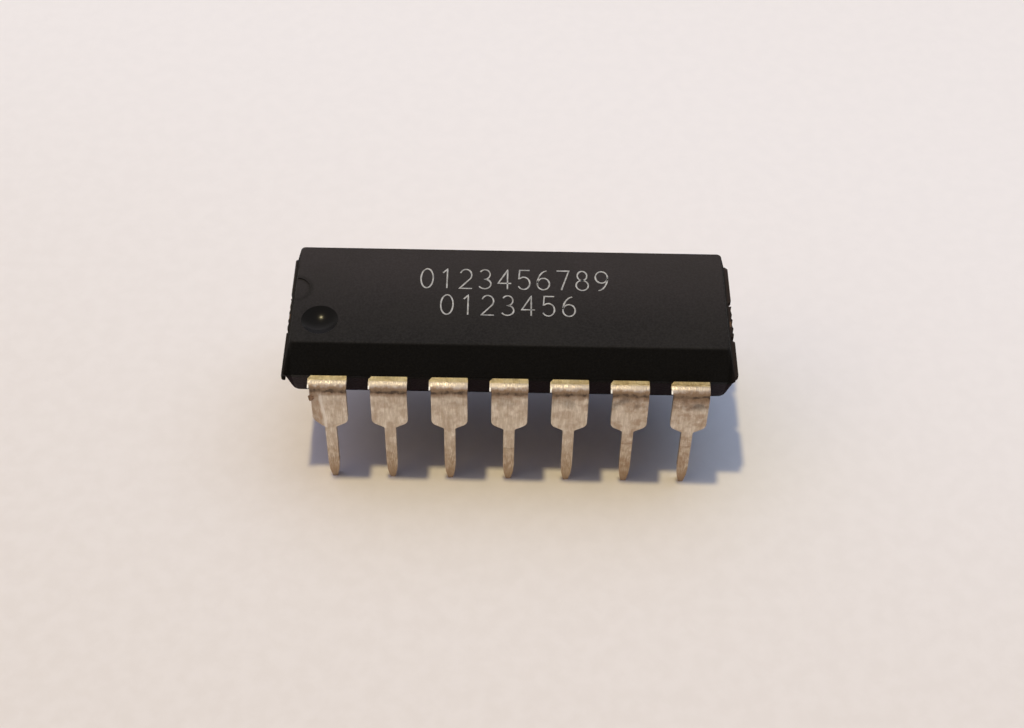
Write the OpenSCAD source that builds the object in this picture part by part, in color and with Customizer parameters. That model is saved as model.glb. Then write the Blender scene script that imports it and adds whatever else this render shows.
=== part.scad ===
// A moulded dual in-line package with fourteen leads, as it stands on a table on its lead tips.
// X runs along the body with the index end at -X, Y runs across it and Z points up.
// The origin is on the table, under the middle of the body. All sizes are in millimetres.

/* [Lead rows] */
// Distance from one lead to the next
lead_pitch = 2.54; // [2.4:0.01:2.6]
// Distance between the two rows, in the middle of the metal just below the bends
row_spacing = 7.62; // [7.3:0.01:8.4]
// Angle by which the rows spread outwards towards their tips
splay = 5; // [0:0.5:8]

/* [Lead] */
// Thickness of the lead frame metal
lead_t = 0.25; // [0.2:0.01:0.3]
// Inside radius of the bend beside the body
bend_r = 0.25; // [0.15:0.01:0.3]
// Width of the shoulder
shoulder_w = 1.53; // [1.2:0.01:1.6]
// Radius of the shoulder's lower corners
shoulder_r = 0.35; // [0.15:0.01:0.4]
// Slope of the shoulder's lower edges
shoulder_slope = 30; // [15:1:40]
// Shift of the shoulder and stub from the pitch line, towards +X
lead_shift = 0.03; // [0:0.01:0.05]
// Dam bar metal left standing on the -X side of the shoulder
dam_left = 0.09; // [0.03:0.01:0.12]
// Dam bar metal left standing on the +X side of the shoulder
dam_right = 0.01; // [0.01:0.01:0.06]
// Drop from the top of the lead to the lower end of the dam bar metal
dam_drop = 0.16; // [0.1:0.01:0.25]
// Length of the slanting corner beside the body, measured across the lead
dam_corner_w = 0.16; // [0.1:0.01:0.2]
// Length of the slanting corner beside the body, measured along the lead
dam_corner_l = 0.15; // [0.1:0.01:0.2]
// Width of the stub that goes into the board
stub_w = 0.48; // [0.38:0.01:0.6]
// Length of the stub below the shoulder
stub_l = 3.22; // [2.9:0.01:3.5]
// Radius in the inner corners between stub and shoulder
stub_fillet = 0.1; // [0.05:0.01:0.15]
// Length over which the stub narrows to its tip
taper_l = 0.95; // [0.6:0.05:1.2]
// Width at the very tip
tip_w = 0.2; // [0.14:0.01:0.3]

/* [Bent wing of lead 1] */
// Width of the strip that is pushed back
wing_w = 0.42; // [0.3:0.01:0.5]
// Angle by which it is pushed back
wing_angle = 18; // [6:1:24]

/* [Body] */
// Length at the parting line
body_l = 19; // [18.7:0.05:19.4]
// Width at the parting line
body_w = 6.45; // [6.3:0.01:6.5]
// Height of the upper half, from the lead frame up to the top face
upper_h = 1.55; // [1.3:0.01:1.8]
// Distance by which the draft brings the ends of the top face in from the parting line
top_end_in = 0.35; // [0.2:0.01:0.5]
// Distance by which the draft brings the sides of the top face in from the parting line
top_side_in = 0.495; // [0.2:0.005:0.65]
// Height of the lower half, from the bottom face up to the lead frame
lower_h = 1.49; // [1.3:0.01:1.7]
// Distance of the lower half's ends from the parting line, at the lead frame
lower_end_in = 0.025; // [0.015:0.005:0.1]
// Distance of the lower half's sides from the parting line, at the lead frame
lower_side_in = 0.1; // [0.02:0.005:0.15]
// Distance by which the draft brings the ends of the bottom face in from the parting line
bottom_end_in = 0.1; // [0.05:0.01:0.3]
// Distance by which the draft brings the sides of the bottom face in from the parting line
bottom_side_in = 0.575; // [0.3:0.005:0.7]
// Height of the bottom face above the ends of the shoulders
standoff = 0.64; // [0.39:0.01:1]
// Radius of the upright corners at the top face
top_corner_r = 0.2; // [0.1:0.01:0.3]
// Radius of the upper half's upright corners at the parting line
parting_corner_r = 0.08; // [0.05:0.01:0.15]
// Radius of the lower half's upright corners where it meets the lead frame
lower_corner_r = 0.2; // [0.1:0.01:0.3]
// Radius of the upright corners at the bottom face
bottom_corner_r = 0.43; // [0.3:0.01:0.6]
// Radius along the edges of the top and bottom faces
edge_r = 0.1; // [0.05:0.01:0.15]

/* [Index marks] */
// Diameter of the dimple beside lead 1
dimple_d = 1.55; // [1.2:0.01:1.7]
// Depth of the dimple
dimple_depth = 0.3; // [0.15:0.01:0.35]
// Distance of the dimple's centre from the end of the top face
dimple_from_end = 1.17; // [1:0.01:1.5]
// Distance of the dimple's centre from the front of the top face
dimple_from_front = 1.26; // [1:0.01:1.5]
// Radius of the faint half-round notch in the index end
notch_r = 0.62; // [0.4:0.01:0.75]
// Depth of the notch
notch_depth = 0.05; // [0.03:0.01:0.2]
// Place of the notch across the body
notch_y = 0.25; // [0:0.01:0.35]

/* [Ejector marks] */
// Diameter of the two ejector marks in the bottom face
ejector_d = 1.6; // [1:0.05:2]
// Depth of the ejector marks
ejector_depth = 0.06; // [0.03:0.01:0.12]
// Distance of each ejector mark from the middle of the body
ejector_x = 5.8; // [4:0.1:7]

/* [Flash on the ends] */
// Distance by which the flash stands out of the -X end
flash_left = 0.07; // [0.04:0.01:0.12]
// Distance by which the flash stands out of the +X end
flash_right = 0.15; // [0.08:0.01:0.2]
// Width of the broken stretch in the middle, where the tie bar was cut
break_w = 1.75; // [1.4:0.05:2]
// Place of the broken stretch across the body
break_y = 0.15; // [-0.1:0.01:0.3]
// Gap on each side of the broken stretch
flash_gap = 0.18; // [0.1:0.01:0.3]
// Distance by which the -X flash stands out past the front of the body
flash_past_front = 0.08; // [0.04:0.01:0.12]
// Distance of the +X flash from the front of the body
flash_off_front = 0.28; // [0.2:0.01:0.4]
// Distance by which the flash stands out past the back of the body
flash_past_back = 0.12; // [0.05:0.01:0.15]

/* [Lead frame inside] */
// Length of the die pad
pad_l = 2.8; // [2.4:0.05:3.2]
// Width of the die pad
pad_w = 2.2; // [1.9:0.05:2.4]
// Width of the tie bars that hold the die pad
tie_w = 0.3; // [0.2:0.01:0.4]
// Gap between neighbouring pieces of the frame
frame_gap = 0.2; // [0.15:0.01:0.25]
// Width of the inner fingers
finger_w = 0.36; // [0.3:0.01:0.4]
// Depth to which the full shoulder reaches into the body
root_l = 0.5; // [0.3:0.01:0.6]
// Length over which the shoulder narrows to a finger
root_taper = 0.45; // [0.3:0.01:0.6]
// Distance along X that the fingers of the four outer leads on a side slant before they turn inwards
finger_slant = 1.3; // [1:0.05:1.6]

/* [Die and bond wires] */
// Length of the die
die_l = 1.5; // [1.2:0.05:1.8]
// Width of the die
die_w = 1.3; // [1.1:0.05:1.6]
// Thickness of the die
die_t = 0.38; // [0.25:0.01:0.45]
// Thickness of the die attach
attach_t = 0.03; // [0.02:0.005:0.05]
// Distance by which the die attach stands out round the die
attach_rim = 0.06; // [0.03:0.01:0.1]
// Distance of the bond pads from the edges of the die
bond_in = 0.12; // [0.1:0.01:0.16]
// Distance between neighbouring bond pads
bond_pitch = 0.32; // [0.25:0.01:0.36]
// Diameter of the bond wires
wire_d = 0.03; // [0.025:0.001:0.04]
// Diameter of the ball at the die end of a wire
ball_d = 0.08; // [0.06:0.005:0.1]
// Height of the ball
ball_h = 0.02; // [0.015:0.005:0.03]
// Height of the control points that pull a wire up into its loop
loop_h = 0.35; // [0.25:0.01:0.45]
// Distance of the stitch from the end of a finger
stitch_in = 0.25; // [0.2:0.01:0.35]
// Diameter of the stitch
stitch_d = 0.1; // [0.08:0.005:0.14]
// Height of the stitch
stitch_h = 0.02; // [0.015:0.005:0.03]

/* [Hidden] */

$fn = 48;
LEADS = 14;
LEADS_A_SIDE = LEADS / 2;
// How far cuts run past the faces that they open, and how far joined solids run into each other
past = 0.05;
// Thickness of the plates that the lofts are made from
sliver = 0.001;

// Sizes of the two mould halves
top_l = body_l - 2 * top_end_in;
top_w = body_w - 2 * top_side_in;
lower_l = body_l - 2 * lower_end_in;
lower_w = body_w - 2 * lower_side_in;
bottom_l = body_l - 2 * bottom_end_in;
bottom_w = body_w - 2 * bottom_side_in;

// Heights above the table
bottom_z = stub_l + standoff;
frame_z = bottom_z + lower_h;
frame_top = frame_z + lead_t;
top_z = frame_top + upper_h;
attach_top = frame_top + attach_t;
die_top = attach_top + die_t;

// The centre of the bend lies under the end of the level stretch
bend_start_y = row_spacing / 2 - (bend_r + lead_t / 2) * cos(splay);
bend_z = frame_top - bend_r - lead_t;

// Edges of the blade and of the dam bar stubs, measured from the pitch line
shoulder_left = lead_shift - shoulder_w / 2;
shoulder_right = lead_shift + shoulder_w / 2;
dam_x0 = shoulder_left - dam_left;
dam_x1 = shoulder_right + dam_right;
dam_end_z = frame_top - dam_drop;
// The bent wing of lead 1 starts just below the bend
wing_top_z = bend_z - past;
// Steps from the first lead of a row to the middle one
HALF_ROW = (LEADS_A_SIDE - 1) / 2;

// Lanes of the fingers on each side of the tie bar
lane_1 = tie_w / 2 + frame_gap + finger_w / 2;
lane_2 = lane_1 + finger_w + frame_gap;
finger_end_x = pad_l / 2 + frame_gap;
finger_end_y = pad_w / 2 + frame_gap;
root_end_y = body_w / 2 - root_l;

// Leads 1 to 7 stand in front from -X to +X, and leads 8 to 14 behind from +X to -X.
// Each lead's place along its row is its number of steps from the middle lead.
function step_of(k) = k <= LEADS_A_SIDE ? k - 1 - HALF_ROW : LEADS - HALF_ROW - k;
function in_front(k) = k <= LEADS_A_SIDE;
function side(v) = v < 0 ? -1 : 1;

// Centre line of a front lead's finger, from the end of its root to its inner end
function finger_route(s) =
    let (x = s * lead_pitch, r = [x + lead_shift, -root_end_y])
    abs(s) == 3 ? [r, [x - side(s) * finger_slant, -lane_1], [side(s) * finger_end_x, -lane_1]] :
    abs(s) == 2 ? [r, [x - side(s) * finger_slant, -lane_2], [side(s) * finger_end_x, -lane_2]] :
    [r, [s * 2 * finger_w, -lane_2 - finger_w], [s * 2 * finger_w, -finger_end_y]];

// Bond pad on the die and stitch on the finger of a front lead
function bond_pad_at(s) =
    abs(s) <= 1 ? [s * bond_pitch, bond_in - die_w / 2] :
    [side(s) * (die_l / 2 - bond_in), (abs(s) == 3 ? -0.5 : -1.5) * bond_pitch];
function stitch_at(s) =
    let (p = finger_route(s)[2])
    abs(s) <= 1 ? [p.x, p.y - stitch_in] : [p.x + side(s) * stitch_in, p.y];

// Outline of a band of width w along a centre line, with mitred corners
function unit(v) = v / norm(v);
function left_of(v) = [-v.y, v.x];
function mitre(a, b, w) = let (n = unit(left_of(a) + left_of(b))) n * (w / 2) / (n * left_of(a));
function band_offset(p, i, w) =
    let (a = unit(p[max(i, 1)] - p[max(i, 1) - 1]), n = len(p) - 1)
    let (b = unit(p[min(i + 1, n)] - p[min(i + 1, n) - 1]))
    mitre(a, b, w);
function band(p, w) = concat(
    [for (i = [0 : len(p) - 1]) p[i] + band_offset(p, i, w)],
    [for (i = [len(p) - 1 : -1 : 0]) p[i] - band_offset(p, i, w)]
);

// A thin plate with rounded corners, for the lofts of the two mould halves
module rounded_plate(l, w, r, z) {
    for (x = [r - l / 2, l / 2 - r], y = [r - w / 2, w / 2 - r])
        translate([x, y, z])
            cylinder(r = r, h = sliver, $fn = 32);
}

// Plates that round the edge between a drafted side and a level face
module rounded_rim(l, w, r, z, up) {
    for (a = [0 : 30 : 90])
        let (in = 2 * edge_r * (1 - cos(a)))
            rounded_plate(l - in, w - in, r, z + up * edge_r * (sin(a) - 1));
}

// The parting line lies at the top of the lead frame, and the sides run in to the lower half under it
module upper_half() {
    hull() {
        rounded_plate(lower_l, lower_w, lower_corner_r, frame_z);
        rounded_plate(body_l, body_w, parting_corner_r, frame_top);
        rounded_rim(top_l, top_w, top_corner_r, top_z - sliver, 1);
    }
}

module lower_half() {
    hull() {
        rounded_plate(lower_l, lower_w, lower_corner_r, frame_z + past);
        rounded_plate(lower_l, lower_w, lower_corner_r, frame_z);
        rounded_rim(bottom_l, bottom_w, bottom_corner_r, bottom_z, -1);
    }
}

// One stretch of flash on the +X end, from y0 to y1, with slanting corners
module flash_tab(y0, y1, proud) {
    x0 = body_l / 2 - 2 * past;
    x1 = body_l / 2 + proud;
    cut = proud * 0.8;
    translate([0, 0, frame_z])
        linear_extrude(lead_t)
            polygon([[x0, y0], [x1 - cut, y0], [x1, y0 + cut], [x1, y1 - cut], [x1 - cut, y1], [x0, y1]]);
}

// The broken stretch, whose edge wanders between half and all of the flash's reach
module broken_tab(y0, y1, proud) {
    x0 = body_l / 2 - 2 * past;
    steps = 11;
    turn = 140;
    least = 0.5;
    edge = [for (i = [0 : steps])
        let (share = (1 + least) / 2 + (1 - least) / 2 * sin(i * turn))
            [body_l / 2 + proud * share, y0 + (y1 - y0) * i / steps]];
    translate([0, 0, frame_z])
        linear_extrude(lead_t)
            polygon(concat([[x0, y0]], edge, [[x0, y1]]));
}

module end_flash(proud, front_in) {
    break_0 = break_y - break_w / 2;
    break_1 = break_y + break_w / 2;
    flash_tab(front_in - body_w / 2, break_0 - flash_gap, proud);
    broken_tab(break_0, break_1, proud);
    flash_tab(break_1 + flash_gap, body_w / 2 + flash_past_back, proud);
}

// The dimple is a shallow bowl, cut by a ball
module dimple() {
    ball_r = (pow(dimple_d / 2, 2) + pow(dimple_depth, 2)) / (2 * dimple_depth);
    translate([dimple_from_end - top_l / 2, dimple_from_front - top_w / 2, top_z - dimple_depth + ball_r])
        sphere(ball_r);
}

module end_notch() {
    translate([-top_l / 2, notch_y, top_z - notch_depth])
        cylinder(r = notch_r, h = notch_depth + past);
}

module ejector_marks() {
    for (x = [-ejector_x, ejector_x])
        translate([x, 0, bottom_z - past])
            cylinder(d = ejector_d, h = ejector_depth + past);
}

// The moulding with everything that it was moulded round taken out of it
module moulded_body() {
    color("#2b2b2c")
        difference() {
            union() {
                upper_half();
                lower_half();
                end_flash(flash_right, flash_off_front);
                mirror([1, 0, 0])
                    end_flash(flash_left, -flash_past_front);
            }
            dimple();
            end_notch();
            ejector_marks();
            for (k = [1 : LEADS]) {
                lead(k);
                bond_wire(k);
            }
            die_pad();
            die_attach();
            die();
        }
}

// Level part of a front lead: the root in the wall of the body and the finger inside it
module lead_root(s) {
    wall = -body_w / 2;
    level_end = -bend_start_y;
    translate([0, 0, frame_z])
        linear_extrude(lead_t)
            union() {
                translate([s * lead_pitch, 0])
                    polygon([
                        [dam_x0, level_end], [dam_x1, level_end], [dam_x1, wall - past - dam_right],
                        [shoulder_right, wall - past], [shoulder_right, -root_end_y],
                        [lead_shift + finger_w / 2, -root_end_y + root_taper],
                        [lead_shift - finger_w / 2, -root_end_y + root_taper],
                        [shoulder_left, -root_end_y], [shoulder_left, wall + root_l - dam_corner_w],
                        [dam_x0 + dam_corner_w, wall + past], [dam_x0, wall - dam_corner_l]
                    ]);
                polygon(band(finger_route(s), finger_w));
            }
}

// Side view of a front lead, with Y to the right: a level stretch, a round bend and a splayed blade.
// bend_side fills everything under the strip's face that lies at this radius from the bend's centre.
module bend_side(r) {
    face_y = -bend_start_y - r * cos(splay);
    face_z = bend_z + r * sin(splay);
    union() {
        polygon([
            [0, bend_z + r], [-bend_start_y, bend_z + r], [face_y, face_z],
            [face_y - (face_z + past) * tan(splay), -past], [0, -past]
        ]);
        translate([-bend_start_y, bend_z])
            circle(r);
    }
}

module lead_side() {
    difference() {
        bend_side(bend_r + lead_t);
        bend_side(bend_r);
    }
}

// Front view of a lead: the shoulder, the stub and the tip, with the dam bar stubs at the bend
module lead_front() {
    half_shoulder = shoulder_w / 2;
    half_stub = stub_w / 2;
    corner_z = stub_l + (half_shoulder - half_stub) * tan(shoulder_slope);
    // Distance from a sharp corner to the point where its rounding starts
    corner_run = shoulder_r * tan(45 - shoulder_slope / 2);
    fillet_run = stub_fillet * tan(45 - shoulder_slope / 2);
    // The sides of the tip bulge out between the stub and the tip
    bulge_z = taper_l * 0.45;
    bulge_x = tip_w / 2 + (half_stub - tip_w / 2) * 0.7;
    fillet_x = half_stub + fillet_run * cos(shoulder_slope);
    translate([lead_shift, 0])
        for (m = [0, 1])
            mirror([m, 0])
                difference() {
                    union() {
                        polygon([
                            [-past, 0], [tip_w / 2, 0], [bulge_x, bulge_z], [half_stub, taper_l],
                            [half_stub, stub_l - fillet_run],
                            [fillet_x, stub_l + fillet_run * sin(shoulder_slope)],
                            [half_shoulder - corner_run * cos(shoulder_slope),
                                corner_z - corner_run * sin(shoulder_slope)],
                            [half_shoulder, corner_z + corner_run], [half_shoulder, dam_end_z + past],
                            [-past, dam_end_z + past]
                        ]);
                        translate([half_shoulder - shoulder_r, corner_z + corner_run])
                            circle(shoulder_r);
                    }
                    translate([half_stub + stub_fillet, stub_l - fillet_run])
                        circle(stub_fillet);
                }
    translate([dam_x0, dam_end_z])
        square([dam_x1 - dam_x0, frame_top + past - dam_end_z]);
}

// The bend and the blade, where the side view and the front view meet
module lead_outside() {
    intersection() {
        translate([dam_x0, 0, 0])
            rotate([90, 0, 90])
                linear_extrude(dam_x1 - dam_x0)
                    lead_side();
        translate([0, past - bend_start_y, 0])
            rotate([90, 0, 0])
                linear_extrude(row_spacing)
                    lead_front();
    }
}

// The strip of a lead on one side of a line along it: its wing when left is true, or the rest
module lead_beside(x, left) {
    intersection() {
        lead_outside();
        translate([left ? x - lead_pitch : x, -row_spacing, 0])
            cube([lead_pitch, row_spacing, left ? wing_top_z + past : top_z]);
    }
}

// Lead 1 was knocked: the outer strip of its shoulder is pushed back about a crease in its face
module knocked_outside() {
    crease_x = shoulder_left + wing_w;
    face_y = -bend_start_y - (bend_r + lead_t) / cos(splay) - bend_z * tan(splay);
    lead_beside(crease_x, false);
    intersection() {
        lead_outside();
        translate([crease_x - lead_pitch, -row_spacing, wing_top_z])
            cube([lead_pitch, row_spacing, top_z]);
    }
    translate([crease_x, face_y, 0])
        rotate([-splay, 0, 0])
            rotate([0, 0, -wing_angle])
                rotate([splay, 0, 0])
                    translate([-crease_x, -face_y, 0])
                        lead_beside(crease_x, true);
}

module front_lead(s, knocked) {
    lead_root(s);
    translate([s * lead_pitch, 0, 0])
        if (knocked) knocked_outside();
        else lead_outside();
}

module lead(k) {
    color("#b8a98f")
        if (in_front(k)) front_lead(step_of(k), k == 1);
        else mirror([0, 1, 0]) front_lead(step_of(k), false);
}

// The die pad hangs on two tie bars, whose cut ends show in the ends of the body
module die_pad() {
    left_end = body_l / 2 + flash_left / 2;
    right_end = body_l / 2 + flash_right / 2;
    color("#c49a6c")
        translate([0, 0, frame_z])
            linear_extrude(lead_t)
                union() {
                    square([pad_l, pad_w], center = true);
                    translate([-left_end, -tie_w / 2])
                        square([left_end + right_end, tie_w]);
                }
}

module die_attach() {
    color("#d9d4c4")
        translate([-die_l / 2 - attach_rim, -die_w / 2 - attach_rim, frame_top])
            cube([die_l + 2 * attach_rim, die_w + 2 * attach_rim, attach_t]);
}

module die() {
    color("#6f7a8c")
        translate([-die_l / 2, -die_w / 2, attach_top])
            cube([die_l, die_w, die_t]);
}

// A wire stands up from its ball, turns over in a loop and slopes down to its stitch.
// Its middle line is a cubic curve that leaves the ball upright and reaches the stitch at a low angle.
function wire_point(t, reach) =
    let (u = 1 - t, z0 = die_top + ball_h / 2, z1 = frame_top + wire_d / 2)
    u * u * u * [0, z0] + 3 * u * u * t * [0, z0 + loop_h] + 3 * u * t * t * [reach / 3, z0 + loop_h] +
    t * t * t * [reach, z1];
function wire_heading(t, reach) = unit(wire_point(t + 0.01, reach) - wire_point(t - 0.01, reach));

module wire_sweep(reach) {
    sides = 8;
    rings = 10;
    points = [
        for (i = [0 : rings])
            let (t = i / rings, p = wire_point(t, reach), across = left_of(wire_heading(t, reach)))
            for (j = [0 : sides - 1])
                let (a = 360 * (j + 0.5) / sides, c = p + across * wire_d / 2 * cos(a))
                [c.x, wire_d / 2 * sin(a), c.y]
    ];
    first = [for (j = [sides - 1 : -1 : 0]) j];
    last = [for (j = [0 : sides - 1]) rings * sides + j];
    skin = [
        for (i = [0 : rings - 1], j = [0 : sides - 1])
            let (a = i * sides + j, b = i * sides + (j + 1) % sides)
            each [[a, b, a + sides], [b, b + sides, a + sides]]
    ];
    polyhedron(points, concat([first], skin, [last]));
}

module front_wire(s) {
    from = bond_pad_at(s);
    to = stitch_at(s);
    reach = norm(to - from);
    translate([from.x, from.y, 0])
        rotate([0, 0, atan2(to.y - from.y, to.x - from.x)]) {
            translate([0, 0, die_top])
                cylinder(d = ball_d, h = ball_h);
            wire_sweep(reach);
            translate([reach, 0, frame_top])
                cylinder(d = stitch_d, h = stitch_h);
        }
}

module bond_wire(k) {
    color("#e2b33c")
        if (in_front(k)) front_wire(step_of(k));
        else mirror([0, 1, 0]) front_wire(step_of(k));
}

moulded_body();
lead(1);  // lead_1
lead(2);  // lead_2
lead(3);  // lead_3
lead(4);  // lead_4
lead(5);  // lead_5
lead(6);  // lead_6
lead(7);  // lead_7
lead(8);  // lead_8
lead(9);  // lead_9
lead(10);  // lead_10
lead(11);  // lead_11
lead(12);  // lead_12
lead(13);  // lead_13
lead(14);  // lead_14
die_pad();
die_attach();
die();
bond_wire(1);  // bond_wire_1
bond_wire(2);  // bond_wire_2
bond_wire(3);  // bond_wire_3
bond_wire(4);  // bond_wire_4
bond_wire(5);  // bond_wire_5
bond_wire(6);  // bond_wire_6
bond_wire(7);  // bond_wire_7
bond_wire(8);  // bond_wire_8
bond_wire(9);  // bond_wire_9
bond_wire(10);  // bond_wire_10
bond_wire(11);  // bond_wire_11
bond_wire(12);  // bond_wire_12
bond_wire(13);  // bond_wire_13
bond_wire(14);  // bond_wire_14
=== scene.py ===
import math

import bmesh
import bpy
from mathutils import Matrix, Vector, noise


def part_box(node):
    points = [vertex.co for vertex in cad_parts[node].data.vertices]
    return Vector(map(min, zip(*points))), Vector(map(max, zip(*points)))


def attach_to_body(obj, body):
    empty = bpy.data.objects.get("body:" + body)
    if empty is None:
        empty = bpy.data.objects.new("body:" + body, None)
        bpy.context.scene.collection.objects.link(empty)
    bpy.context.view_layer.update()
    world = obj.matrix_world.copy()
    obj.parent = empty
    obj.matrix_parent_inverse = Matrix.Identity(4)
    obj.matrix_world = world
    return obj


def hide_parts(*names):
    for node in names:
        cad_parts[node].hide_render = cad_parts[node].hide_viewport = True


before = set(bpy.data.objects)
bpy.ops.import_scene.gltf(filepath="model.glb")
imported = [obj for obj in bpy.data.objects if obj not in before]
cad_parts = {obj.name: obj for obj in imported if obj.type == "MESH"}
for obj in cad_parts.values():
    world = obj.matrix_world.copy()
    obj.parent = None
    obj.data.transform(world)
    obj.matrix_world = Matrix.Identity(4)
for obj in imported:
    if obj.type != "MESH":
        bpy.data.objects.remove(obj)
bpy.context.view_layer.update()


# The leads: fourteen legs stamped from a strip of copper alloy, dipped in solder and bent down in two rows.
# Heat and handling have dulled the solder and left brown tarnish and scratched stubs, and painted dark
# reflections lie under the bends.
MM = 0.001
LEADS = 14


def add_node(tree, kind, inputs=None, **settings):
    """Adds a node to a shader tree. A socket given as an input is wired, and anything else is set."""
    made = tree.nodes.new(kind)
    for name, value in settings.items():
        setattr(made, name, value)
    for name, value in (inputs or {}).items():
        if isinstance(value, bpy.types.NodeSocket):
            tree.links.new(value, made.inputs[name])
        else:
            made.inputs[name].default_value = value
    return made


def new_material(name):
    """A material with a plain Principled shader, and its tree."""
    material = bpy.data.materials.new(name)
    material.use_nodes = True
    tree = material.node_tree
    return material, tree, tree.nodes["Principled BSDF"]


def new_group(name, inputs, outputs):
    """An empty shader node group. A number makes a value socket, and a tuple makes a vector socket."""
    group = bpy.data.node_groups.new(name, "ShaderNodeTree")
    for socket, value in inputs.items():
        kind = "NodeSocketVector" if isinstance(value, tuple) else "NodeSocketFloat"
        made = group.interface.new_socket(name=socket, in_out="INPUT", socket_type=kind)
        made.default_value = value
    for socket in outputs:
        group.interface.new_socket(name=socket, in_out="OUTPUT", socket_type="NodeSocketFloat")
    return group, group.nodes.new("NodeGroupInput").outputs, group.nodes.new("NodeGroupOutput").inputs


def reckon(tree, operation, first, second=0.0):
    """The result of a Math node."""
    return add_node(tree, "ShaderNodeMath", {0: first, 1: second}, operation=operation).outputs[0]


def blend(tree, share, low, high):
    """A colour between two others."""
    mix = add_node(tree, "ShaderNodeMix", {0: share, 6: low, 7: high}, data_type="RGBA")
    return mix.outputs[2]


def between(tree, value, low, high, out_low=0.0, out_high=1.0):
    """A value that goes smoothly from one level to another as its source passes through a range."""
    inputs = {"Value": value, "From Min": low, "From Max": high, "To Min": out_low, "To Max": out_high}
    return add_node(tree, "ShaderNodeMapRange", inputs, interpolation_type="SMOOTHSTEP").outputs["Result"]


def ranged(tree, mask, at_none, at_full):
    """A value that is one number where a mask is 0 and another where it is 1."""
    return between(tree, mask, 0.0, 1.0, at_none, at_full)


def all_of(tree, *masks):
    """The product of some masks."""
    product = masks[0]
    for mask in masks[1:]:
        product = reckon(tree, "MULTIPLY", product, mask)
    return product


# Patches: soft-edged spots of a given size, for tarnish, dirt and wear
patches, group_in, group_out = new_group(
    "patches", {"Place": (0, 0, 0), "Spots a mm": 1.0, "Detail": 2.0, "Low": 0.4, "High": 0.6}, ["Mask"])
spots = add_node(patches, "ShaderNodeTexNoise", {
    "Vector": group_in["Place"], "Scale": group_in["Spots a mm"], "Detail": group_in["Detail"]})
spot_mask = between(patches, spots.outputs["Fac"], group_in["Low"], group_in["High"])
patches.links.new(spot_mask, group_out["Mask"])

# Band: a soft-edged stripe round one level of a value
band, group_in, group_out = new_group(
    "band", {"Value": 0.0, "Middle": 0.0, "Half width": 1.0, "Softness": 0.1}, ["Mask"])
off_middle = reckon(band, "ABSOLUTE", reckon(band, "SUBTRACT", group_in["Value"], group_in["Middle"]))
band_edge = reckon(band, "ADD", group_in["Half width"], group_in["Softness"])
band.links.new(between(band, off_middle, group_in["Half width"], band_edge, 1.0, 0.0), group_out["Mask"])


def spotted(tree, place, spots_a_mm, low, high, detail):
    """A mask of soft spots that starts at one level of the noise and is full at another."""
    inputs = {"Place": place, "Spots a mm": spots_a_mm, "Detail": detail, "Low": low, "High": high}
    return add_node(tree, "ShaderNodeGroup", inputs, node_tree=patches).outputs["Mask"]


def striped(tree, value, middle, half_width, softness):
    """A mask that is full where a value is near its middle."""
    inputs = {"Value": value, "Middle": middle, "Half width": half_width, "Softness": softness}
    return add_node(tree, "ShaderNodeGroup", inputs, node_tree=band).outputs["Mask"]


def place_in_mm(tree):
    """The place on the part in millimetres, as a vector and as its three numbers."""
    here = add_node(tree, "ShaderNodeTexCoord").outputs["Object"]
    scaled = add_node(tree, "ShaderNodeVectorMath", {0: here, "Scale": 1 / MM}, operation="SCALE").outputs[0]
    parts = add_node(tree, "ShaderNodeSeparateXYZ", {0: scaled}).outputs
    return scaled, parts["X"], parts["Y"], parts["Z"]


def vector_of(tree, x, y, z):
    """A vector from its three numbers."""
    return add_node(tree, "ShaderNodeCombineXYZ", {0: x, 1: y, 2: z}).outputs[0]


def bump(tree, shader, height, depth_mm, strength=1.0):
    """Gives a material a fine relief."""
    inputs = {"Height": height, "Distance": depth_mm * MM, "Strength": strength}
    relief = add_node(tree, "ShaderNodeBump", inputs)
    tree.links.new(relief.outputs[0], shader.inputs["Normal"])


# Where things lie on a lead: the top of the strip, the end of its level part, its bend and its shoulders
lead_pitch = 2.54
lead_thickness = 0.25
frame_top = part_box("lead_4")[1][2] / MM
level_end_y = 3.435
bend_outer_r = 0.5
bend_end_z = frame_top - bend_outer_r
shoulder_end_z = 3.22

solder_fresh = (0.80, 0.72, 0.615, 1)
solder_dull = (0.62, 0.535, 0.43, 1)
tarnish_brown = (0.36, 0.24, 0.155, 1)

solder, tree, shader = new_material("dulled_solder")
place, x, y, z = place_in_mm(tree)
outward = reckon(tree, "ABSOLUTE", y)
along = reckon(tree, "SUBTRACT", z, outward)
# The rolled strip's grain and the scratches of handling run lengthwise
grain_stretch = 7.0
grain_place = vector_of(tree, reckon(tree, "MULTIPLY", x, grain_stretch), reckon(tree, "SIGN", y), along)
streaks = spotted(tree, grain_place, spots_a_mm=1.1, low=0.36, high=0.66, detail=4.0)
fine_streaks = spotted(tree, grain_place, spots_a_mm=3.2, low=0.35, high=0.65, detail=3.0)
mottle = spotted(tree, place, spots_a_mm=2.6, low=0.38, high=0.64, detail=5.0)
worn = all_of(tree, streaks, ranged(tree, fine_streaks, 0.55, 1.0))
colour = blend(tree, worn, solder_dull, solder_fresh)

# A film of brown tarnish lies over the solder, partly in patches, and it is thicker at the +X end
thicker_from_x = 2.0
thickest_x = 6.0
patchy_film = reckon(tree, "MULTIPLY", mottle, between(tree, x, thicker_from_x, thickest_x, 0.40, 0.56))
even_film = between(tree, x, thicker_from_x, thickest_x, 0.02, 0.13)
colour = blend(tree, reckon(tree, "ADD", patchy_film, even_film), colour, tarnish_brown)
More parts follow.
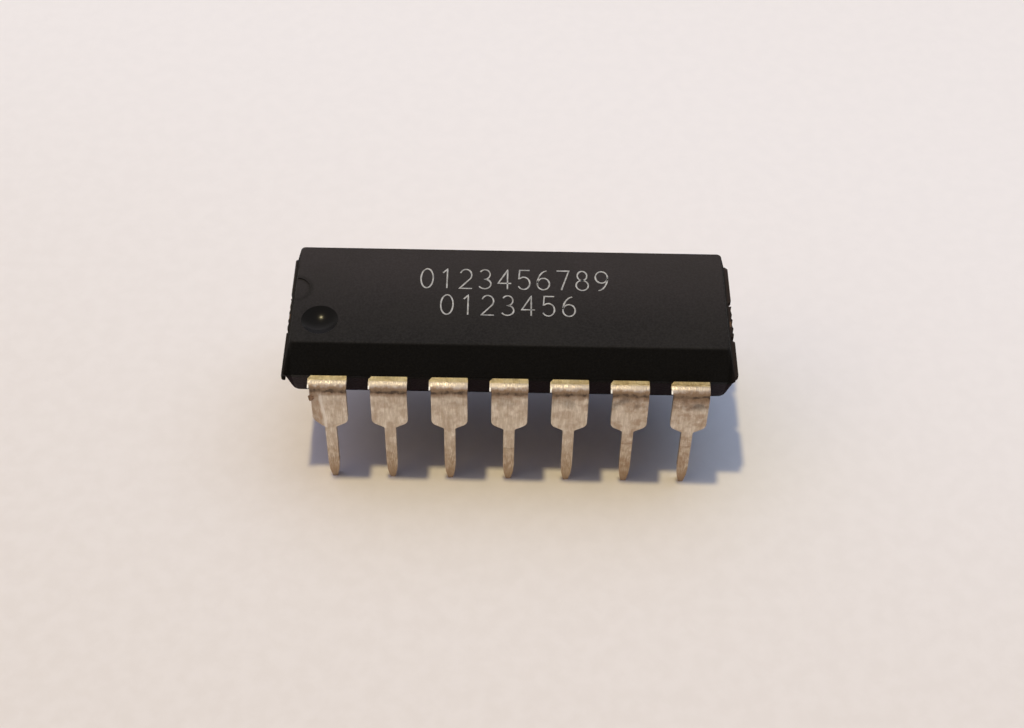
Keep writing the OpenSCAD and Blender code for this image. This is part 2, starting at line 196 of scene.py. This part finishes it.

# Lead 1 was knocked: a wing of it is pushed back behind a slanting crease, which has a painted highlight
# along it
crease_x = -7.935
crease_foot_z = 3.5
wing_top_z = 5.1
crease_highlight_colour = (0.86, 0.80, 0.72, 1)
in_front = between(tree, y, -level_end_y, -level_end_y - 0.1)
crease_line = between(tree, z, crease_foot_z, wing_top_z, crease_x + 0.1, crease_x - 0.02)
beside_crease = reckon(tree, "SUBTRACT", x, crease_line)
above_stub = between(tree, z, shoulder_end_z - 0.1, shoulder_end_z)
under_bend = between(tree, z, wing_top_z + 0.2, wing_top_z)
on_wing = all_of(tree, in_front, above_stub, under_bend)
# Painted shade on the wing, which is pushed back from the light
pushed_wing_shade = all_of(tree, between(tree, beside_crease, -0.10, 0.0, 0.7, 0.0), on_wing,
                     ranged(tree, fine_streaks, 0.35, 1.0))
# A painted highlight along the crease
crease_highlight = all_of(tree, striped(tree, beside_crease, middle=0.05, half_width=0.03, softness=0.06), on_wing)
colour = blend(tree, reckon(tree, "MULTIPLY", crease_highlight, 0.6), colour, crease_highlight_colour)

# The stubs are browner than the shoulders, most of all at their cut tips, and the pushed wing is painted
# darker as painted shade, since it turns away from the light
stub_clear_z = shoulder_end_z - 0.3
stub_brown_z = shoulder_end_z - 2.2
tip_clear_z = 1.5
tip_brown_z = 0.15
on_stub = between(tree, z, stub_brown_z, stub_clear_z, 1.0, 0.0)
stub_tarnish = all_of(tree, on_stub, ranged(tree, fine_streaks, 0.64, 0.2))
tip_tarnish = between(tree, z, tip_brown_z, tip_clear_z, 0.75, 0.0)
brown = reckon(tree, "MAXIMUM", reckon(tree, "MAXIMUM", stub_tarnish, tip_tarnish), pushed_wing_shade)
colour = blend(tree, brown, colour, tarnish_brown)

# The top of each bend is worn, and a brown band runs round the lower part of it, into the shoulder: a
# painted reflection of the dark room in front
wear_foot_z = bend_end_z + 0.36
wear_full_z = bend_end_z + 0.42
band_top_z = bend_end_z + 0.49
band_foot_z = bend_end_z + 0.25
bend_worn = (0.46, 0.41, 0.385, 1)
brown_mark_and_reflection = (0.23, 0.145, 0.085, 1)
wander = add_node(tree, "ShaderNodeTexNoise", {"Vector": place, "Scale": 4.5, "Detail": 4.0}).outputs["Fac"]


def wandering(tree, value, reach):
    """A value that strays a little either way, so that what follows it has an uneven edge."""
    return reckon(tree, "ADD", value, between(tree, wander, 0.3, 0.7, -reach, reach))


wandering_z = wandering(tree, z, 0.035)
past_level = between(tree, outward, level_end_y - 0.02, level_end_y + 0.08)
on_bend = between(tree, outward, level_end_y + 0.13, level_end_y + 0.24)
bend_wear = all_of(tree, between(tree, wandering_z, wear_foot_z, wear_full_z), past_level,
                   ranged(tree, fine_streaks, 1.0, 0.72))
colour = blend(tree, bend_wear, colour, bend_worn)
band_top = between(tree, wandering_z, band_top_z, wear_foot_z)
band_reach = between(tree, x, 3.0, 7.0, -0.06, -0.22)
band_foot = between(tree, wandering_z, reckon(tree, "ADD", band_reach, bend_end_z), band_foot_z)
brown_reflection_band = all_of(tree, band_top, band_foot, on_bend)
colour = blend(tree, reckon(tree, "MULTIPLY", brown_reflection_band, 0.9), colour, brown_mark_and_reflection)

# A painted dark reflection runs in a line in that band, with darker smudges under it that grow towards the
# +X end
dark_line_z = bend_end_z + 0.26
smudge_z = bend_end_z - 0.1
dark_line_and_smudge_colour = (0.07, 0.045, 0.03, 1)
dark_line_stripe = striped(tree, wandering_z, middle=dark_line_z, half_width=0.022, softness=0.06)
dark_reflection_line = all_of(tree, dark_line_stripe, on_bend, ranged(tree, mottle, 0.35, 1.0))
smudge_stripe = striped(tree, wandering_z, middle=smudge_z, half_width=0.12, softness=0.45)
smudge_spots = spotted(tree, place, spots_a_mm=1.7, low=0.40, high=0.66, detail=5.0)
smudge_share = between(tree, x, -3.0, 8.0, 0.12, 0.62)
smudges = all_of(tree, smudge_stripe, smudge_spots, smudge_share, on_bend)
dark_reflection_and_smudges = reckon(tree, "MAXIMUM", reckon(tree, "MULTIPLY", dark_reflection_line, 0.95), smudges)
colour = blend(tree, dark_reflection_and_smudges, colour, dark_line_and_smudge_colour)

# The level part is painted a warmer gold, a painted reflection of the warm lamp, and where it meets the bend
# a fine line crosses the +X leads
level_warm_reflection = (0.62, 0.52, 0.25, 1)
on_level = between(tree, outward, level_end_y + 0.08, level_end_y - 0.02)
colour = blend(tree, reckon(tree, "MULTIPLY", on_level, 0.45), colour, level_warm_reflection)
fine_line = striped(tree, wandering(tree, outward, 0.05), middle=level_end_y - 0.04, half_width=0.01,
                    softness=0.035)
line_share = between(tree, x, 1.0, 5.0, 0.0, 0.45)
on_upper_face = between(tree, z, bend_end_z + 0.4, bend_end_z + 0.44)
colour = blend(tree, all_of(tree, fine_line, line_share, on_upper_face), colour, brown_mark_and_reflection)

# A painted glint lies on the sheared corner at the -X side of each bend
shear_x = -0.79
glint_colour = (1.0, 0.97, 0.90, 1)
steps_along = reckon(tree, "ROUND", reckon(tree, "DIVIDE", x, lead_pitch))
off_pitch = reckon(tree, "SUBTRACT", x, reckon(tree, "MULTIPLY", steps_along, lead_pitch))
at_shear = between(tree, off_pitch, shear_x + 0.05, shear_x)
painted_glint_stripe = striped(tree, z, middle=wear_foot_z, half_width=0.05, softness=0.06)
colour = blend(tree, all_of(tree, at_shear, painted_glint_stripe, on_bend), colour, glint_colour)

# A faint ring that a socket's contact pressed into three of the stubs, each at its own height
middle_lead = 4
ring_heights = {4: 2.0, 6: 2.45, 7: 2.3}
ring = 0.0
for k, ring_z in ring_heights.items():
    ring_x = (k - middle_lead) * lead_pitch
    on_one_stub = striped(tree, x, middle=ring_x, half_width=0.6, softness=0.1)
    ring_line = striped(tree, wandering(tree, z, 0.03), middle=ring_z, half_width=0.02, softness=0.05)
    ring = reckon(tree, "MAXIMUM", all_of(tree, on_one_stub, in_front, ring_line), ring)
colour = blend(tree, reckon(tree, "MULTIPLY", ring, 0.3), colour, brown_mark_and_reflection)

tree.links.new(colour, shader.inputs["Base Color"])
tree.links.new(ranged(tree, dark_reflection_and_smudges, 1.0, 0.5), shader.inputs["Metallic"])
tree.links.new(ranged(tree, fine_streaks, 0.58, 0.44), shader.inputs["Roughness"])
bump(tree, shader, reckon(tree, "ADD", fine_streaks, mottle), depth_mm=0.009, strength=0.8)


def worn_copy(name, node, edge_r, material):
    """Puts a copy of a CAD node in its place, with its sharp edges worn round."""
    weld_reach = 0.0001 * MM
    flat_turn = math.radians(1)
    sharp_turn = math.radians(30)
    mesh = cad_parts[node].data.copy()
    mesh.name = name
    if "custom_normal" in mesh.attributes:
        mesh.attributes.remove(mesh.attributes["custom_normal"])
    work = bmesh.new()
    work.from_mesh(mesh)
    bmesh.ops.remove_doubles(work, verts=work.verts, dist=weld_reach)
    bmesh.ops.dissolve_limit(work, angle_limit=flat_turn, verts=work.verts, edges=work.edges)
    sharp = [e for e in work.edges if len(e.link_faces) == 2 and e.calc_face_angle() > sharp_turn]
    bmesh.ops.bevel(work, geom=sharp, offset=edge_r * MM, segments=2, profile=0.5, affect="EDGES",
                    clamp_overlap=True)
    for face in work.faces:
        face.smooth = True
    work.to_mesh(mesh)
    work.free()
    mesh.materials.clear()
    mesh.materials.append(material)
    piece = bpy.data.objects.new(name, mesh)
    bpy.context.scene.collection.objects.link(piece)
    piece.modifiers.new("even_faces", "WEIGHTED_NORMAL")
    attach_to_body(piece, "root")
    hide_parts(node)
    return piece


worn_edge_r = 0.03
for k in range(1, LEADS + 1):
    worn_copy(f"solder_dipped_lead_{k}", f"lead_{k}", worn_edge_r, solder)

# The burr torn up beside the bend of lead 1 when it was knocked: a ragged crumb of the strip's own metal,
# still fast to its edge, bare of solder and brown with tarnish.
burr_place = Vector((-8.31, -3.95, 4.99))
burr_size = Vector((0.11, 0.06, 0.16))
burr_roughness = 0.7
burr_lumps = 2.3
burnt_dark = (0.16, 0.085, 0.05, 1)
burnt_pale = (0.34, 0.22, 0.14, 1)
work = bmesh.new()
bmesh.ops.create_icosphere(work, subdivisions=3, radius=1)
for vert in work.verts:
    ragged = 1 + burr_roughness * noise.noise(vert.co * burr_lumps + burr_place)
    vert.co = (burr_place + burr_size * vert.co * ragged) * MM
burr_mesh = bpy.data.meshes.new("torn_burr")
work.to_mesh(burr_mesh)
work.free()
burr_metal, tree, shader = new_material("tarnished_burr")
place, x, y, z = place_in_mm(tree)
burnt = spotted(tree, place, spots_a_mm=9.0, low=0.35, high=0.65, detail=3.0)
tree.links.new(blend(tree, burnt, burnt_dark, burnt_pale), shader.inputs["Base Color"])
tree.links.new(ranged(tree, burnt, 0.4, 0.9), shader.inputs["Metallic"])
tree.links.new(ranged(tree, burnt, 0.7, 0.5), shader.inputs["Roughness"])
bump(tree, shader, burnt, depth_mm=0.01)
burr_mesh.materials.append(burr_metal)
burr = bpy.data.objects.new("torn_burr_lead_1", burr_mesh)
bpy.context.scene.collection.objects.link(burr)
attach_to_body(burr, "root")

# The die pad and its two tie bars: the middle of the same strip, bare copper alloy inside the body.
# Only the sheared ends of the tie bars show, in the broken flash, and those are dark with tarnish.
tie_bar_end_x = 9.3
roll_stretch = 9.0
copper_dull = (0.62, 0.36, 0.20, 1)
copper_clean = (0.74, 0.47, 0.29, 1)
sheared_dark = (0.11, 0.065, 0.04, 1)
pad_metal, tree, shader = new_material("bare_lead_frame")
place, x, y, z = place_in_mm(tree)
roll_place = vector_of(tree, x, reckon(tree, "MULTIPLY", y, roll_stretch), z)
rolled = spotted(tree, roll_place, spots_a_mm=1.6, low=0.3, high=0.7, detail=4.0)
colour = blend(tree, rolled, copper_dull, copper_clean)
sheared = between(tree, reckon(tree, "ABSOLUTE", x), tie_bar_end_x - 0.1, tie_bar_end_x)
colour = blend(tree, sheared, colour, sheared_dark)
tree.links.new(colour, shader.inputs["Base Color"])
shader.inputs["Metallic"].default_value = 1
tree.links.new(ranged(tree, rolled, 0.45, 0.3), shader.inputs["Roughness"])
bump(tree, shader, rolled, depth_mm=0.002)
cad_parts["die_pad"].material_slots[0].material = pad_metal

# The die attach: a thin bed of epoxy full of silver flakes, pressed out a little round the die.
# It is dull and pale grey, with a sparkle where flakes lie flat.
epoxy_grey = (0.42, 0.41, 0.39, 1)
flake_silver = (0.80, 0.79, 0.76, 1)
attach, tree, shader = new_material("silver_filled_epoxy")
place, x, y, z = place_in_mm(tree)
flakes = spotted(tree, place, spots_a_mm=30.0, low=0.5, high=0.62, detail=1.0)
tree.links.new(blend(tree, flakes, epoxy_grey, flake_silver), shader.inputs["Base Color"])
tree.links.new(ranged(tree, flakes, 0.1, 0.9), shader.inputs["Metallic"])
tree.links.new(ranged(tree, flakes, 0.6, 0.3), shader.inputs["Roughness"])
bump(tree, shader, flakes, depth_mm=0.003)
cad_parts["die_attach"].material_slots[0].material = attach

# The die: a sawn chip of silicon, polished, with blocks of circuitry under a thin glassy film on top.
# The sawn sides are plain grey, and the top is blue-violet with a fine rectangular pattern.
die_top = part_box("die")[1][2] / MM
sawn_grey = (0.17, 0.17, 0.18, 1)
circuit_blue = (0.09, 0.10, 0.20, 1)
circuit_violet = (0.17, 0.13, 0.23, 1)
circuit_track = (0.40, 0.38, 0.34, 1)
silicon, tree, shader = new_material("silicon_die")
place, x, y, z = place_in_mm(tree)
blocks = add_node(tree, "ShaderNodeTexBrick", {
    "Vector": place, "Scale": 6.0, "Mortar Size": 0.04, "Color1": circuit_blue,
    "Color2": circuit_violet, "Mortar": circuit_track})
on_top = between(tree, z, die_top - 0.01, die_top - 0.005)
colour = blend(tree, on_top, sawn_grey, blocks.outputs["Color"])
tree.links.new(colour, shader.inputs["Base Color"])
tree.links.new(ranged(tree, on_top, 0.5, 0.18), shader.inputs["Roughness"])
shader.inputs["Metallic"].default_value = 0.4
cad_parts["die"].material_slots[0].material = silicon

# The bond wires: drawn gold wire, with a ball pressed on the die and a stitch on each finger.
# Fine draw marks cover them, duller in some places than in others.
gold_deep = (0.86, 0.58, 0.20, 1)
gold_bright = (0.98, 0.74, 0.34, 1)
gold, tree, shader = new_material("gold_wire")
place, x, y, z = place_in_mm(tree)
drawn = spotted(tree, place, spots_a_mm=22.0, low=0.35, high=0.65, detail=2.0)
tree.links.new(blend(tree, drawn, gold_deep, gold_bright), shader.inputs["Base Color"])
shader.inputs["Metallic"].default_value = 1
tree.links.new(ranged(tree, drawn, 0.32, 0.2), shader.inputs["Roughness"])
for k in range(1, LEADS + 1):
    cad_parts[f"bond_wire_{k}"].material_slots[0].material = gold

# The body: black epoxy moulding compound, filled with ground silica and moulded round the lead frame.
# The spark-eroded mould leaves a fine matt grain, and the dimple was formed by a polished pin.
top_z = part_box("moulded_body")[1][2] / MM
top_l = 18.3
top_w = 5.46
parting_l = 19.0
dimple_x = 1.17 - top_l / 2
dimple_y = 1.26 - top_w / 2
dimple_r = 1.55 / 2
parting_z = frame_top - lead_thickness
notch_y = 0.25
notch_r = 0.62
side_dark = (0.0066, 0.0062, 0.0056, 1)
side_pale = (0.0102, 0.0096, 0.0086, 1)
top_dark = (0.0115, 0.0103, 0.0101, 1)
top_pale = (0.0205, 0.0184, 0.0180, 1)
top_rear_sheen = (0.060, 0.049, 0.049, 1)
handled_grey = (0.026, 0.023, 0.021, 1)
low_half_bounce_grey = (0.021, 0.0145, 0.0175, 1)
silica_grey = (0.05, 0.045, 0.042, 1)
sheen_from_y = -2.7
sheen_full_y = 2.9
end_tint_reach = 9.0
end_brown = (0.034, 0.022, 0.018, 1)
dimple_black = (0.0028, 0.0022, 0.0018, 1)
dimple_reflection_grey = (0.0150, 0.0140, 0.0150, 1)


def distance_from(tree, x, y, middle_x, middle_y):
    """How far a place is from an upright line."""
    middle = vector_of(tree, middle_x, middle_y, 0.0)
    flat_place = vector_of(tree, x, y, 0.0)
    measured = add_node(tree, "ShaderNodeVectorMath", {0: flat_place, 1: middle}, operation="DISTANCE")
    return measured.outputs["Value"]


compound, tree, shader = new_material("moulding_compound")
place, x, y, z = place_in_mm(tree)
facing = add_node(tree, "ShaderNodeTexCoord").outputs["Normal"]
facing_up = add_node(tree, "ShaderNodeSeparateXYZ", {0: facing}).outputs["Z"]
grain = spotted(tree, place, spots_a_mm=11.0, low=0.25, high=0.75, detail=4.0)
filler = spotted(tree, place, spots_a_mm=30.0, low=0.62, high=0.72, detail=1.0)
handled = spotted(tree, place, spots_a_mm=0.45, low=0.35, high=0.7, detail=4.0)
# The top is painted paler towards the rear, as a painted sheen of the bright room behind
rear_sheen = between(tree, y, sheen_from_y, sheen_full_y)
# The sides are painted darker than the top, as painted shade, since the light falls from above
flat_top = between(tree, facing_up, 0.5, 0.95)
side_colour = blend(tree, grain, side_dark, side_pale)
top_colour = blend(tree, grain, top_dark, top_pale)
top_colour = blend(tree, reckon(tree, "MULTIPLY", rear_sheen, 0.5), top_colour, top_rear_sheen)
top_colour = blend(tree, reckon(tree, "MULTIPLY", handled, 0.3), top_colour, handled_grey)
# The shallow walls of the end notch take half of the top's paler colour, not the painted shade of the sides
from_notch = distance_from(tree, x, y, -top_l / 2, notch_y)
in_notch = between(tree, from_notch, notch_r + 0.02, notch_r + 0.05, 1.0, 0.0)
near_top = between(tree, z, top_z - 0.12, top_z - 0.06)
top_share = reckon(tree, "MAXIMUM", flat_top, all_of(tree, in_notch, near_top, 0.5))
colour = blend(tree, top_share, side_colour, top_colour)
# The lower half is painted a little paler and more violet, as painted bounce light from the paper, and
# painted shade lies along the notch
low_half = between(tree, z, parting_z - 0.05, parting_z)
colour = blend(tree, low_half, low_half_bounce_grey, colour)
# Painted shade along the rim of the notch
notch_shade = striped(tree, from_notch, middle=notch_r + 0.02, half_width=0.03, softness=0.17)
colour = blend(tree, all_of(tree, notch_shade, near_top, 0.38), colour, side_colour)
colour = blend(tree, reckon(tree, "MULTIPLY", filler, 0.2), colour, silica_grey)
# The ends are a paler brown, more so at the +X end
at_end = between(tree, reckon(tree, "ABSOLUTE", x), top_l / 2 + 0.05, parting_l / 2 + 0.02)
towards_right = between(tree, x, -end_tint_reach, end_tint_reach, 0.25, 1.0)
end_tint = all_of(tree, at_end, ranged(tree, grain, 0.3, 0.75), towards_right)
colour = blend(tree, end_tint, colour, end_brown)
# The dimple is smooth and black, and painted a little greyer towards the front, as a painted reflection of
# the room
from_dimple = distance_from(tree, x, y, dimple_x, dimple_y)
above_frame = between(tree, z, top_z - 0.5, top_z - 0.4)
in_dimple = all_of(tree, between(tree, from_dimple, dimple_r - 0.02, dimple_r + 0.01, 1.0, 0.0), above_frame)
dimple_front_reflection = between(tree, y, dimple_y + 0.1, dimple_y - 0.7)
dimple_colour = blend(tree, dimple_front_reflection, dimple_black, dimple_reflection_grey)
colour = blend(tree, in_dimple, colour, dimple_colour)
tree.links.new(colour, shader.inputs["Base Color"])
end_face = between(tree, reckon(tree, "ABSOLUTE", x), top_l / 2 - 0.01, top_l / 2 + 0.02)
matt = reckon(tree, "MAXIMUM", ranged(tree, grain, 0.62, 0.5), end_face)
tree.links.new(ranged(tree, in_dimple, matt, 0.22), shader.inputs["Roughness"])
shader.inputs["Specular IOR Level"].default_value = 0.04
shader.inputs["Coat Roughness"].default_value = 0.22
tree.links.new(reckon(tree, "MULTIPLY", in_dimple, 0.16), shader.inputs["Coat Weight"])
relief = reckon(tree, "MULTIPLY", grain, ranged(tree, in_dimple, 1.0, 0.08))
bump(tree, shader, relief, depth_mm=0.012, strength=0.8)
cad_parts["moulded_body"].material_slots[0].material = compound

# The marking: two lines of plain counting digits, printed on the top face in thin strokes of white ink.
# The ink lies a few thousandths of a millimetre thick, and it is a little thin and uneven.
ink_above = 0.006
ink_below = 0.01
stroke_w = 0.062
stroke_step = 0.08
stroke_unevenness = 0.3
uneven_spots_a_mm = 5
mitre_limit = 0.6
arc_step = 15
digit_w = 0.62
digit_h = 1.10


def arc(centre_x, centre_y, radius_x, radius_y, start, end):
    """Points along part of an ellipse, in units of a digit's cell."""
    count = max(2, round(abs(end - start) / arc_step))
    turns = [math.radians(start + (end - start) * i / count) for i in range(count + 1)]
    return [(centre_x + radius_x * math.cos(t), centre_y + radius_y * math.sin(t)) for t in turns]


six = arc(0.80, 0.30, 0.72, 0.70, 96, 180) + arc(0.5, 0.30, 0.42, 0.30, 170, -180)
DIGITS = {
    "0": [arc(0.5, 0.5, 0.42, 0.5, 90, 450)],
    "1": [[(0.25, 0.80), (0.55, 1.0), (0.55, 0.0)]],
    "2": [arc(0.5, 0.70, 0.40, 0.30, 160, -35) + [(0.08, 0.0), (0.94, 0.0)]],
    "3": [arc(0.47, 0.75, 0.36, 0.25, 150, -90) + arc(0.47, 0.25, 0.43, 0.25, 80, -150)],
    "4": [[(0.70, 0.0), (0.70, 1.0), (0.06, 0.30), (0.96, 0.30)]],
    "5": [[(0.88, 1.0), (0.20, 1.0), (0.15, 0.56)] + arc(0.48, 0.32, 0.42, 0.32, 130, -150)],
    "6": [six],
    "7": [[(0.08, 1.0), (0.92, 1.0), (0.40, 0.0)]],
    "8": [arc(0.5, 0.76, 0.33, 0.24, -90, 270), arc(0.5, 0.26, 0.42, 0.26, 90, 450)],
    "9": [[(1 - px, 1 - py) for px, py in six]],
}


def even_steps(points):
    """The same line with a point at least every stroke_step."""
    line = [points[0]]
    for a, b in zip(points, points[1:]):
        count = max(1, math.ceil((b - a).length / stroke_step))
        line += [a.lerp(b, (i + 1) / count) for i in range(count)]
    return line


def ink_stroke(work, points):
    """A thin flat bar of ink along a line on the top face, a little uneven in width."""
    line = even_steps(points)
    closed = (line[0] - line[-1]).length < stroke_w / 10
    if closed:
        line = line[:-1]
    count = len(line)
    rings = []
    for i, here in enumerate(line):
        before = line[i - 1] if closed or i > 0 else 2 * line[0] - line[1]
        after = line[(i + 1) % count] if closed or i < count - 1 else 2 * line[-1] - line[-2]
        a = (here - before).normalized()
        b = (after - here).normalized()
        heading = (a + b).normalized()
        uneven = 1 + stroke_unevenness * noise.noise(Vector((here.x, here.y, 0)) * uneven_spots_a_mm)
        reach = stroke_w / 2 * uneven / max(mitre_limit, heading.dot(b))
        across = Vector((-heading.y, heading.x)) * reach
        left = here + across
        right = here - across
        corners = [(left, ink_above), (right, ink_above), (right, -ink_below), (left, -ink_below)]
        rings.append([work.verts.new((p.x * MM, p.y * MM, (top_z + h) * MM)) for p, h in corners])
    for i in range(count if closed else count - 1):
        a = rings[i]
        b = rings[(i + 1) % count]
        for j in range(4):
            work.faces.new((a[j], a[(j + 1) % 4], b[(j + 1) % 4], b[j]))
    if not closed:
        work.faces.new(rings[0][::-1])
        work.faces.new(rings[-1])


def print_line(name, digits, left_x, low_y, digit_pitch, material):
    """Prints a line of digits as one piece of ink."""
    work = bmesh.new()
    for i, digit in enumerate(digits):
        for stroke in DIGITS[digit]:
            origin = Vector((left_x + i * digit_pitch, low_y))
            ink_stroke(work, [origin + Vector((px * digit_w, py * digit_h)) for px, py in stroke])
    bmesh.ops.recalc_face_normals(work, faces=work.faces)
    mesh = bpy.data.meshes.new(name)
    work.to_mesh(mesh)
    work.free()
    mesh.materials.append(material)
    piece = bpy.data.objects.new(name, mesh)
    bpy.context.scene.collection.objects.link(piece)
    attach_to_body(piece, "root")
    return piece


ink_full = (0.41, 0.39, 0.37, 1)
ink_thin = (0.22, 0.21, 0.20, 1)
ink, tree, shader = new_material("white_ink")
place, x, y, z = place_in_mm(tree)
thinned = spotted(tree, place, spots_a_mm=5.0, low=0.35, high=0.7, detail=4.0)
tree.links.new(blend(tree, thinned, ink_full, ink_thin), shader.inputs["Base Color"])
tree.links.new(ranged(tree, thinned, 0.5, 0.7), shader.inputs["Roughness"])
bump(tree, shader, thinned, depth_mm=0.003)
print_line("ink_upper_line", "0123456789", left_x=-3.90, low_y=0.42, digit_pitch=0.83, material=ink)
print_line("ink_lower_line", "0123456", left_x=-3.00, low_y=-1.06, digit_pitch=0.86, material=ink)

# The stage: a sheet of pale paper, a small warm lamp high above and the cooler light of the room.
# The room's light comes from high up behind the part and from the left, and its far walls are pale too.
floor_size = 3
paper_near = (0.700, 0.630, 0.583, 1)
paper_far = (0.785, 0.737, 0.730, 1)
fibre_pale = (0.90, 0.84, 0.82, 1)
shade_slant = 0.3
shade_reach = 26.0
bpy.ops.mesh.primitive_plane_add(size=floor_size)
floor = bpy.context.object
floor.name = "paper"
paper, tree, shader = new_material("pale_paper")
place, x, y, z = place_in_mm(tree)
fibres = spotted(tree, place, spots_a_mm=1.3, low=0.3, high=0.7, detail=5.0)
# The paper is painted darker towards the front and the left, as a painted falloff of the light
slanted = reckon(tree, "ADD", y, reckon(tree, "MULTIPLY", x, shade_slant))
paper_colour = blend(tree, between(tree, slanted, -shade_reach, shade_reach), paper_near, paper_far)
paper_colour = blend(tree, reckon(tree, "MULTIPLY", fibres, 0.12), paper_colour, fibre_pale)
tree.links.new(paper_colour, shader.inputs["Base Color"])
shader.inputs["Roughness"].default_value = 0.9
shader.inputs["Specular IOR Level"].default_value = 0
bump(tree, shader, fibres, depth_mm=0.01, strength=0.4)
floor.data.materials.append(paper)

# The lamp's share of what a white face square to it sends back
key_share = (0.55, 0.468, 0.268)
lamp_place = Vector((-0.152, 0.110, 1.02))
lamp_width = 0.062
lamp = bpy.data.lights.new("desk_lamp", "AREA")
lamp.shape = "DISK"
lamp.size = lamp_width
lamp.color = [c / key_share[0] for c in key_share]
lamp.energy = math.pi ** 2 * lamp_place.length_squared * key_share[0]
lamp_object = bpy.data.objects.new("desk_lamp", lamp)
lamp_object.location = lamp_place
lamp_object.rotation_mode = "QUATERNION"
lamp_object.rotation_quaternion = lamp_place.to_track_quat("Z", "Y")
bpy.context.scene.collection.objects.link(lamp_object)

# The room's light by the direction that it comes from; on the +X side it begins higher up.
# The walls show only in gloss and past the edge of the paper.
low_light = (0.02, 0.02, 0.03, 1)
front_light = (0.11, 0.12, 0.18, 1)
front_left_light = (1.95, 1.62, 1.10, 1)
left_light = (1.25, 1.30, 1.85, 1)
right_light = (1.52, 1.90, 2.52, 1)
far_wall = (0.80, 0.76, 0.74, 1)
world = bpy.data.worlds.new("room")
world.use_nodes = True
tree = world.node_tree
toward = add_node(tree, "ShaderNodeTexCoord").outputs["Generated"]
toward_parts = add_node(tree, "ShaderNodeSeparateXYZ", {0: toward}).outputs
light = blend(tree, between(tree, toward_parts["X"], -0.6, 0.3), left_light, right_light)
to_front_left = between(tree, toward_parts["X"], -0.4, -0.8)
near_half = blend(tree, to_front_left, front_light, front_left_light)
light = blend(tree, between(tree, toward_parts["Y"], -0.2, 0.3), near_half, light)
lowest = between(tree, toward_parts["X"], -0.2, 0.4, 0.3, 0.45)
light = blend(tree, between(tree, toward_parts["Z"], lowest, 0.78), low_light, light)
room_light = tree.nodes["Background"]
tree.links.new(light, room_light.inputs["Color"])
backdrop = add_node(tree, "ShaderNodeBackground", {"Color": far_wall})
path = add_node(tree, "ShaderNodeLightPath").outputs
seen = reckon(tree, "ADD", path["Is Camera Ray"], path["Is Glossy Ray"])
seen = reckon(tree, "MINIMUM", reckon(tree, "ADD", seen, path["Is Transmission Ray"]), 1.0)
either = add_node(tree, "ShaderNodeMixShader", {0: seen, 1: room_light.outputs[0], 2: backdrop.outputs[0]})
tree.links.new(either.outputs[0], tree.nodes["World Output"].inputs["Surface"])
bpy.context.scene.world = world

# The camera looks down at about 51 degrees from 70 mm away, where the corners of the body, the lead exits
# and the lead tips all fall where the photograph has them.
elevation = math.radians(50.756)
azimuth = math.radians(-0.453)
roll = math.radians(1.351)
distance = 69.667 * MM
aim = Vector((0.1208, -0.3023, 3)) * MM
focal_px = 1569.5
picture_width_px = 1024
back = Vector((math.sin(azimuth) * math.cos(elevation), -math.cos(azimuth) * math.cos(elevation),
               math.sin(elevation)))
level = Vector((math.cos(azimuth), math.sin(azimuth), 0))
upright = back.cross(level)
right = math.cos(roll) * level + math.sin(roll) * upright
up = math.cos(roll) * upright - math.sin(roll) * level
camera = bpy.data.cameras.new("camera")
camera.sensor_width = 36
camera.lens = camera.sensor_width * focal_px / picture_width_px
camera.clip_start = 1 * MM
camera.clip_end = 10
camera_object = bpy.data.objects.new("camera", camera)
eye = aim + back * distance
camera_object.matrix_world = Matrix((
    (right.x, up.x, back.x, eye.x),
    (right.y, up.y, back.y, eye.y),
    (right.z, up.z, back.z, eye.z),
    (0, 0, 0, 1),
))
bpy.context.scene.collection.objects.link(camera_object)
bpy.context.scene.camera = camera_object
bpy.context.scene.view_settings.view_transform = "Standard"
